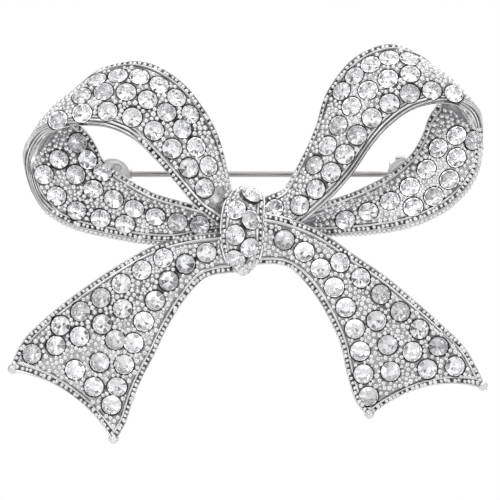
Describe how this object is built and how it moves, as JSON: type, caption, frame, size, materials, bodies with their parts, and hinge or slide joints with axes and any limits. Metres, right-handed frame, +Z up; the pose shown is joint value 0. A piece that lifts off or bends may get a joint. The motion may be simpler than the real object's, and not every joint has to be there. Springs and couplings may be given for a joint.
{
  "type": "ribbon bow brooch",
  "caption": "Silver-toned ribbon bow brooch pave-set with clear round stones, with a hinged pin stem and a roll-over catch on its back.",
  "frame": {"origin": "middle of the straight part of the pin stem, on its axis, with the pin closed", "axes": "+X along the pin stem from its hinge to its tip, +Z up as the brooch is worn, stones towards -Y and the wearer's cloth towards +Y"},
  "size_m": [0.0538, 0.012, 0.0448],
  "materials": {
    "plated_casting": "bright rhodium-tone plate on a cast alloy",
    "crystal": "clear faceted crystal, foiled behind",
    "pin_wire": "drawn steel wire",
    "findings": "plated stamped and turned metal"
  },
  "bodies": {
    "brooch": {"left_loop": "plated_casting", "right_loop": "plated_casting", "left_tail": "plated_casting", "right_tail": "plated_casting", "knot": "plated_casting", "left_loop_stones_1": "crystal", "left_loop_stones_2": "crystal", "left_loop_stones_3": "crystal", "left_loop_stones_4": "crystal", "left_loop_stones_5": "crystal", "left_loop_stones_6": "crystal", "right_loop_stones_1": "crystal", "right_loop_stones_2": "crystal", "right_loop_stones_3": "crystal", "right_loop_stones_4": "crystal", "right_loop_stones_5": "crystal", "right_loop_stones_6": "crystal", "right_loop_stones_7": "crystal", "left_tail_stones_1": "crystal", "left_tail_stones_2": "crystal", "left_tail_stones_3": "crystal", "left_tail_stones_4": "crystal", "left_tail_stones_5": "crystal", "right_tail_stones_1": "crystal", "right_tail_stones_2": "crystal", "right_tail_stones_3": "crystal", "right_tail_stones_4": "crystal", "knot_stones_1": "crystal", "knot_stones_2": "crystal", "hinge_pad": "findings", "hinge_bracket": "findings", "hinge_rivet": "findings", "catch_pad": "findings", "catch_housing": "findings"},
    "pin": {"pin_stem": "pin_wire"},
    "roller": {"catch_roller": "findings"}
  },
  "joints": [
    {"name": "pin_hinge", "type": "hinge", "parent": "brooch", "child": "pin", "pos_m": [-0.0165, 0, 0], "axis": [0, 0, 1], "range_deg": [0, 100]},
    {"name": "catch_turn", "type": "hinge", "parent": "brooch", "child": "roller", "pos_m": [0.0165, 0, 0], "axis": [-1, 0, 0], "range_deg": [0, 100]}
  ]
}
